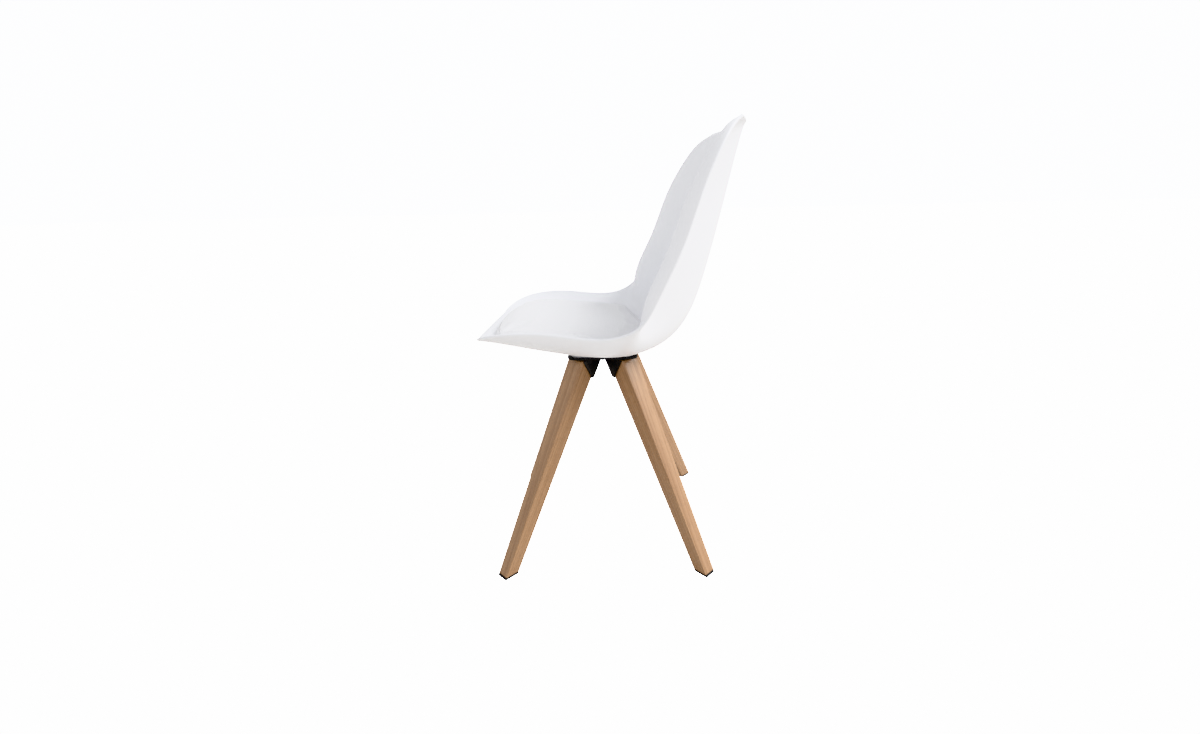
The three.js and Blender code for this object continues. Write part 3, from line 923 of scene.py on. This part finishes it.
def node_group(name, inputs, outputs):
    """An empty shader group with named sockets; returns its wiring, inputs and output node."""
    tree = bpy.data.node_groups.new(name, "ShaderNodeTree")
    kinds = {"vector": "NodeSocketVector", "value": "NodeSocketFloat", "colour": "NodeSocketColor"}
    for label, kind in inputs.items():
        tree.interface.new_socket(label, in_out="INPUT", socket_type=kinds[kind])
    for label, kind in outputs.items():
        tree.interface.new_socket(label, in_out="OUTPUT", socket_type=kinds[kind])
    wiring = Wiring(tree)
    return tree, wiring, wiring.add("NodeGroupInput").outputs, wiring.add("NodeGroupOutput")


def fine_grain_group():
    """A moulded or sprayed skin: fine pimples of a size, on slow waves of the surface."""
    tree, w, given, result = node_group(
        "fine_grain", {"Place": "vector", "Size": "value", "Waves": "value"}, {"Height": "value"})
    frequency = w.maths("DIVIDE", 1.0, given["Size"])
    pimples = w.noise(given["Place"], frequency, 2.0, 0.55)
    waves = w.noise(given["Place"], 14.0, 1.0, 0.4)
    height = w.maths("ADD", pimples, w.maths("MULTIPLY", waves, given["Waves"]))
    w.feed(result, "Height", height)
    return tree


def handling_group():
    """Marks of use: broad cloudy patches and short fine rubs that change the gloss."""
    tree, w, given, result = node_group(
        "handling", {"Place": "vector", "Gloss": "value", "Spread": "value"},
        {"Roughness": "value", "Mask": "value"})
    clouds = w.noise(given["Place"], 9.0, 4.0, 0.6, 0.4)
    rubs = w.noise(w.stretched(given["Place"], (60.0, 220.0, 90.0)), 4.0, 3.0, 0.6)
    mask = w.maths("ADD", w.maths("MULTIPLY", clouds, 0.7), w.maths("MULTIPLY", rubs, 0.3))
    centred = w.maths("SUBTRACT", mask, 0.5)
    drift = w.maths("MULTIPLY", centred, given["Spread"])
    w.feed(result, "Roughness", w.maths("ADD", given["Gloss"], drift))
    w.feed(result, "Mask", mask)
    return tree


def edge_wear_group():
    """Where a convex edge is rubbed: the mesh's own sharpness, broken up by noise."""
    tree, w, given, result = node_group(
        "edge_wear", {"Place": "vector", "Start": "value", "Amount": "value"}, {"Mask": "value"})
    sharp = w.add("ShaderNodeNewGeometry").outputs["Pointiness"]
    broken = w.noise(given["Place"], 160.0, 4.0, 0.7)
    edge = w.remapped(sharp, given["Start"], w.maths("ADD", given["Start"], 0.06))
    mask = w.maths("MULTIPLY", edge, w.remapped(broken, 0.4, 0.62))
    w.feed(result, "Mask", w.maths("MULTIPLY", mask, given["Amount"]))
    return tree


def dust_group():
    """A thin film on what faces up: the upward part of the normal, broken up by noise."""
    tree, w, given, result = node_group(
        "dust", {"Place": "vector", "Amount": "value"}, {"Mask": "value"})
    normal = w.add("ShaderNodeNewGeometry").outputs["Normal"]
    up = w.add("ShaderNodeSeparateXYZ", {"Vector": normal}).outputs["Z"]
    film = w.noise(given["Place"], 35.0, 5.0, 0.65)
    mask = w.maths("MULTIPLY", w.remapped(up, 0.2, 1.0), w.remapped(film, 0.42, 0.75))
    w.feed(result, "Mask", w.maths("MULTIPLY", mask, given["Amount"]))
    return tree


def timber_group():
    """Straight-grained timber in its own coordinates, with Z along the grain: growth rings
    about a distant pith, slow colour bands, short dark pores and pale rays."""
    tree, w, given, result = node_group(
        "timber",
        {"Place": "vector", "Ring": "value", "Early": "colour", "Late": "colour", "Pore": "colour"},
        {"Colour": "colour", "Height": "value", "Roughness": "value"})
    place = given["Place"]
    sway = w.noise(w.stretched(place, (9.0, 9.0, 1.3)), 1.0, 2.0, 0.5)
    wander = w.noise(w.stretched(place, (60.0, 60.0, 3.0)), 1.0, 3.0, 0.55)
    flat = w.stretched(place, (1.0, 1.0, 0.0))
    pith = w.add("ShaderNodeVectorMath", {0: flat}, operation="LENGTH").outputs["Value"]
    bent = w.maths("ADD", pith, w.maths("MULTIPLY", sway, 0.022))
    bent = w.maths("ADD", bent, w.maths("MULTIPLY", wander, 0.0035))
    turn = w.maths("DIVIDE", bent, given["Ring"])
    saw = w.maths("FRACT", turn)
    late = w.maths("POWER", saw, 2.2)
    bands = w.noise(w.stretched(place, (75.0, 75.0, 1.6)), 1.0, 2.0, 0.5)
    streak = w.noise(w.stretched(place, (420.0, 420.0, 5.0)), 1.0, 4.0, 0.6)
    share = w.maths("ADD", w.maths("MULTIPLY", late, 0.42), w.remapped(bands, 0.34, 0.68, 0.0, 0.62))
    share = w.maths("ADD", share, w.remapped(streak, 0.35, 0.7, -0.14, 0.18))
    body = w.mixed(w.remapped(share, 0.0, 1.0), given["Early"], given["Late"])
    flecks = w.noise(w.stretched(place, (1500.0, 1500.0, 45.0)), 1.0, 2.0, 0.5)
    pores = w.remapped(flecks, 0.6, 0.74)
    w.feed(result, "Colour", w.mixed(w.maths("MULTIPLY", pores, 0.55), body, given["Pore"]))
    height = w.maths("SUBTRACT", w.maths("MULTIPLY", streak, 0.5), w.maths("MULTIPLY", pores, 0.8))
    w.feed(result, "Height", height)
    w.feed(result, "Roughness", w.remapped(share, 0.0, 1.0, 0.46, 0.36))
    return tree


def hide_group():
    """Embossed hide: rounded pebbles of a size between sunk creases, over soft folds."""
    tree, w, given, result = node_group(
        "hide", {"Place": "vector", "Size": "value"}, {"Height": "value", "Crease": "value"})
    stir = w.add("ShaderNodeTexNoise", {"Vector": given["Place"], "Scale": 420.0}).outputs[1]
    shift = w.stretched(stir, (0.0012, 0.0012, 0.0012))
    shaken = w.add("ShaderNodeVectorMath", {0: given["Place"], 1: shift}, operation="ADD").outputs[0]
    frequency = w.maths("DIVIDE", 1.0, given["Size"])
    cells = w.add("ShaderNodeTexVoronoi", {"Vector": shaken, "Scale": frequency},
                  feature="DISTANCE_TO_EDGE").outputs[0]
    pebble = w.remapped(cells, 0.0, 0.28)
    fine = w.noise(given["Place"], w.maths("MULTIPLY", frequency, 3.0), 2.0, 0.5)
    folds = w.noise(given["Place"], 22.0, 2.0, 0.5)
    height = w.maths("ADD", w.maths("MULTIPLY", pebble, 0.7), w.maths("MULTIPLY", fine, 0.15))
    w.feed(result, "Height", w.maths("ADD", height, w.maths("MULTIPLY", folds, 0.8)))
    w.feed(result, "Crease", w.maths("SUBTRACT", 1.0, pebble))
    return tree


GROUPS = {
    "fine_grain": fine_grain_group(),
    "handling": handling_group(),
    "edge_wear": edge_wear_group(),
    "dust": dust_group(),
    "timber": timber_group(),
    "hide": hide_group(),
}

# ---- Materials -----------------------------------------------------------------------------


def new_finish(name, constants):
    """A material with its shader's uniform values set; returns it, its wiring, its shader and
    its object coordinates."""
    material = bpy.data.materials.new(name)
    material.use_nodes = True
    w = Wiring(material.node_tree)
    shader = material.node_tree.nodes["Principled BSDF"]
    for socket, value in constants.items():
        shader.inputs[socket].default_value = value
    place = w.add("ShaderNodeTexCoord").outputs["Object"]
    return material, w, shader, place


def use(w, group, **values):
    """Places a shared group in a material."""
    node = w.add("ShaderNodeGroup", node_tree=GROUPS[group])
    for name, value in values.items():
        w.feed(node, name, value)
    return node.outputs


def bumped(w, shader, height, distance, strength=1.0):
    values = {"Height": height, "Distance": distance, "Strength": strength}
    w.feed(shader, "Normal", w.add("ShaderNodeBump", values).outputs[0])


def white_moulding():
    """Satin polypropylene: fine spark texture, slow flow marks, and faint handling."""
    material, w, shader, place = new_finish("white_moulding", {"IOR": 1.49, "Specular IOR Level": 0.45})
    marks = use(w, "handling", Place=place, Gloss=0.4, Spread=0.16)
    film = use(w, "dust", Place=place, Amount=0.05)["Mask"]
    clean = w.mixed(marks["Mask"], (0.845, 0.85, 0.88, 1), (0.875, 0.88, 0.905, 1))
    w.feed(shader, "Base Color", w.mixed(film, clean, (0.6, 0.59, 0.57, 1)))
    w.feed(shader, "Roughness", marks["Roughness"])
    skin = use(w, "fine_grain", Place=place, Size=0.0011, Waves=1.5)
    bumped(w, shader, skin["Height"], 0.00006)
    return material


def white_hide():
    """Coated cloth with an embossed grain: glossy on the pebbles and duller in the creases, with
    painted shade that darkens the colour in the creases.
    """
    gloss = {"IOR": 1.5, "Specular IOR Level": 0.5, "Sheen Weight": 0.08, "Sheen Roughness": 0.4}
    material, w, shader, place = new_finish("white_hide", gloss)
    grain = use(w, "hide", Place=place, Size=0.0016)
    marks = use(w, "handling", Place=place, Gloss=0.44, Spread=0.2)
    clean = w.mixed(marks["Mask"], (0.85, 0.85, 0.865, 1), (0.885, 0.885, 0.9, 1))
    # Painted shade: the colour in the creases between the pebbles is mixed towards grey.
    painted_crease_shade = w.maths("MULTIPLY", grain["Crease"], 0.22)
    w.feed(shader, "Base Color", w.mixed(painted_crease_shade, clean, (0.66, 0.65, 0.66, 1)))
    rougher = w.maths("ADD", marks["Roughness"], w.maths("MULTIPLY", grain["Crease"], 0.14))
    w.feed(shader, "Roughness", rougher)
    bumped(w, shader, grain["Height"], 0.00022)
    return material


def white_thread():
    """Spun thread: a twist across each stitch, as fine waves in the object's own directions."""
    material, w, shader, place = new_finish("white_thread", {"IOR": 1.5, "Sheen Weight": 0.25})
    twist = w.noise(place, 1800.0, 2.0, 0.6)
    w.feed(shader, "Base Color", w.mixed(twist, (0.7, 0.7, 0.71, 1), (0.86, 0.86, 0.87, 1)))
    w.feed(shader, "Roughness", w.remapped(twist, 0.3, 0.7, 0.55, 0.75))
    bumped(w, shader, twist, 0.0002)
    return material


def leg_timber():
    """Lacquered beech, with the growth rings running up each leg and rubbed edges."""
    material, w, shader, place = new_finish(
        "leg_timber", {"IOR": 1.5, "Coat Roughness": 0.24, "Coat Weight": 0.5})
    timber = w.add("ShaderNodeAttribute", attribute_name="timber").outputs["Vector"]
    figure = use(w, "timber", Place=timber, Ring=0.0052, Early=(0.42, 0.25, 0.135, 1),
                 Late=(0.28, 0.148, 0.07, 1), Pore=(0.16, 0.075, 0.035, 1))
    worn = use(w, "edge_wear", Place=place, Start=0.53, Amount=0.35)["Mask"]
    w.feed(shader, "Base Color", w.mixed(worn, figure["Colour"], (0.62, 0.42, 0.25, 1)))
    marks = use(w, "handling", Place=place, Gloss=0.0, Spread=0.12)["Roughness"]
    w.feed(shader, "Roughness", w.maths("ADD", figure["Roughness"], marks))
    bumped(w, shader, figure["Height"], 0.00009)
    return material


def powder_coat():
    """Black powder coat on folded steel: orange peel, with the metal showing at worn edges."""
    material, w, shader, place = new_finish("powder_coat", {"IOR": 1.5, "Specular IOR Level": 0.28})
    worn = use(w, "edge_wear", Place=place, Start=0.62, Amount=0.14)["Mask"]
    film = use(w, "dust", Place=place, Amount=0.03)["Mask"]
    marks = use(w, "handling", Place=place, Gloss=0.5, Spread=0.2)
    coat = w.mixed(marks["Mask"], (0.009, 0.009, 0.01, 1), (0.017, 0.017, 0.018, 1))
    dusty = w.mixed(film, coat, (0.2, 0.19, 0.18, 1))
    w.feed(shader, "Base Color", w.mixed(worn, dusty, (0.32, 0.31, 0.3, 1)))
    w.feed(shader, "Metallic", w.maths("MULTIPLY", worn, 0.8))
    w.feed(shader, "Roughness", marks["Roughness"])
    peel = use(w, "fine_grain", Place=place, Size=0.0013, Waves=0.4)
    bumped(w, shader, peel["Height"], 0.00007)
    return material


def bare_metal(name, light, dark, gloss):
    """Plated or turned metal: fine scratches, stained patches and brighter edges."""
    material, w, shader, place = new_finish(name, {})
    marks = use(w, "handling", Place=place, Gloss=gloss, Spread=0.35)
    worn = use(w, "edge_wear", Place=place, Start=0.54, Amount=0.6)["Mask"]
    body = w.mixed(marks["Mask"], dark, light)
    rubbed = tuple(min(1, 1.3 * part) for part in light[:3]) + (1,)
    w.feed(shader, "Base Color", w.mixed(worn, body, rubbed))
    w.feed(shader, "Metallic", w.remapped(marks["Mask"], 0.0, 1.0, 1.0, 0.9))
    w.feed(shader, "Roughness", marks["Roughness"])
    skin = use(w, "fine_grain", Place=place, Size=0.0004, Waves=0.2)
    bumped(w, shader, skin["Height"], 0.00003)
    return material


def black_nylon():
    """Moulded nylon glides: a matt skin, scuffed pale where it meets the floor."""
    material, w, shader, place = new_finish("black_nylon", {"IOR": 1.53, "Specular IOR Level": 0.3})
    marks = use(w, "handling", Place=place, Gloss=0.58, Spread=0.25)
    worn = use(w, "edge_wear", Place=place, Start=0.56, Amount=0.25)["Mask"]
    body = w.mixed(marks["Mask"], (0.011, 0.011, 0.011, 1), (0.024, 0.024, 0.023, 1))
    w.feed(shader, "Base Color", w.mixed(worn, body, (0.09, 0.088, 0.085, 1)))
    w.feed(shader, "Roughness", marks["Roughness"])
    skin = use(w, "fine_grain", Place=place, Size=0.0006, Waves=0.3)
    bumped(w, shader, skin["Height"], 0.00008)
    return material


def raw_plywood():
    """The board under the cushion: rotary-cut veneer with its grain along Y."""
    material, w, shader, place = new_finish("raw_plywood", {"IOR": 1.5})
    turn = {"Vector": place, "Rotation": (math.pi / 2, 0, 0), "Location": (0.12, 0.3, 0.4)}
    turned_place = w.add("ShaderNodeMapping", turn).outputs[0]
    figure = use(w, "timber", Place=turned_place, Ring=0.011, Early=(0.62, 0.46, 0.29, 1),
                 Late=(0.48, 0.33, 0.19, 1), Pore=(0.33, 0.21, 0.12, 1))
    w.feed(shader, "Base Color", figure["Colour"])
    marks = use(w, "handling", Place=place, Gloss=0.3, Spread=0.2)["Roughness"]
    w.feed(shader, "Roughness", w.maths("ADD", figure["Roughness"], marks))
    bumped(w, shader, figure["Height"], 0.00015)
    return material


# ---- Camera, light and floor ---------------------------------------------------------------


ROOM_LIGHT = 0.86
BACKDROP_LIGHT = 7.0
FLOOR_BOUNCE = (0.62, 0.605, 0.58, 1)
# Each lamp: name, direction towards it, strength, and how wide it is in degrees.
LAMPS = [
    ("high_lamp", (-0.1, 0.74, 0.67), 3.3, 34),
    ("side_lamp", (0.6, 0.8, 0.1), 0.3, 80),
]


def make_camera():
    """A wide lens on the sitter's left, a little above the back, looking down at the seat."""
    pitch, yaw, roll = math.radians(15.555), math.radians(0.603), math.radians(-1.276)
    level = math.cos(pitch)
    forward = Vector((-level * math.cos(yaw), -level * math.sin(yaw), -math.sin(pitch)))
    right = forward.cross(Vector((0, 0, 1))).normalized()
    up = right.cross(forward)
    right_rolled = right * math.cos(roll) + up * math.sin(roll)
    up_rolled = up * math.cos(roll) - right * math.sin(roll)
    camera = bpy.data.objects.new("camera", bpy.data.cameras.new("camera"))
    bpy.context.scene.collection.objects.link(camera)
    turn = Matrix((right_rolled, up_rolled, -forward)).transposed().to_4x4()
    camera.matrix_world = Matrix.Translation((1.0478, 0.037 + SLIDE, 0.683)) @ turn
    camera.data.lens = 16.05
    camera.data.sensor_width = 36
    camera.data.shift_x = -0.0133
    camera.data.shift_y = -0.0167
    camera.data.clip_start = 0.01
    bpy.context.scene.camera = camera


def make_studio():
    """A white room: even light all round, one soft high light from behind, a pale floor."""
    scene = bpy.context.scene
    scene.view_settings.view_transform = "Khronos PBR Neutral"
    world = bpy.data.worlds.new("studio")
    scene.world = world
    world.use_nodes = True
    w = Wiring(world.node_tree)
    backdrop = world.node_tree.nodes["Background"]
    seen = w.add("ShaderNodeLightPath").outputs["Is Camera Ray"]
    w.feed(backdrop, "Color", (0.985, 0.99, 1.0, 1))
    w.feed(backdrop, "Strength", w.remapped(seen, 0.0, 1.0, ROOM_LIGHT, BACKDROP_LIGHT))
    for name, direction, strength, spread in LAMPS:
        lamp = bpy.data.lights.new(name, "SUN")
        lamp.energy = strength
        lamp.angle = math.radians(spread)
        holder = bpy.data.objects.new(name, lamp)
        scene.collection.objects.link(holder)
        holder.rotation_mode = "QUATERNION"
        holder.rotation_quaternion = Vector(direction).to_track_quat("Z", "Y")
    floor_material = bpy.data.materials.new("floor")
    floor_material.use_nodes = True
    f = Wiring(floor_material.node_tree)
    shader = floor_material.node_tree.nodes["Principled BSDF"]
    shader.inputs["Roughness"].default_value = 0.75
    shader.inputs["Specular IOR Level"].default_value = 0.1
    # To the eye the floor is nearly all its own light, so that shadows on it stay faint, and
    # what it throws back at the chair is set apart from that.
    seen = f.add("ShaderNodeLightPath").outputs["Is Camera Ray"]
    f.feed(shader, "Base Color", f.mixed(seen, FLOOR_BOUNCE, (0.16, 0.16, 0.16, 1)))
    f.feed(shader, "Emission Color", f.mixed(seen, (0, 0, 0, 1), (1, 1, 1, 1)))
    shader.inputs["Emission Strength"].default_value = BACKDROP_LIGHT
    reach = 30.0
    corners = np.array([[-reach, -reach, 0], [reach, -reach, 0], [reach, reach, 0], [-reach, reach, 0]])
    mesh = bpy.data.meshes.new("floor")
    mesh.from_pydata(corners.tolist(), [], [(0, 1, 2, 3)])
    mesh.materials.append(floor_material)
    floor = bpy.data.objects.new("floor", mesh)
    scene.collection.objects.link(floor)


# ---- Making the chair ------------------------------------------------------------------------

make_camera()
make_studio()

finish = {
    "white_plastic": white_moulding(),
    "white_leather": white_hide(),
    "plywood": raw_plywood(),
    "beech_wood": leg_timber(),
    "black_steel": powder_coat(),
    "zinc_steel": bare_metal("zinc_plate", (0.62, 0.63, 0.65, 1), (0.42, 0.43, 0.45, 1), 0.34),
    "brass": bare_metal("turned_brass", (0.72, 0.52, 0.22, 1), (0.5, 0.34, 0.13, 1), 0.3),
    "black_plastic": black_nylon(),
}

make_shell(finish["white_plastic"])
make_cushion(finish["white_leather"], white_thread())
softened_copy(
    "mounting_plate", "mounting_plate_steel", finish["black_steel"], 0.7 * MM)
make_seat_fixings(finish)
for number, place in enumerate(LEG_TURNS):
    make_leg(place, number, finish["beech_wood"])
    softened_copy(f"leg_bracket_{place}", f"bracket_steel_{place}",
                  finish["black_steel"], 0.8 * MM)
    softened_copy(f"glide_{place}", f"glide_nylon_{place}",
                  finish["black_plastic"], 0.6 * MM)
    make_leg_fixings(place, finish)

# The board keeps its CAD shape and only takes a better finish.
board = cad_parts["seat_board"]
for socket in board.material_slots:
    socket.material = finish["plywood"]
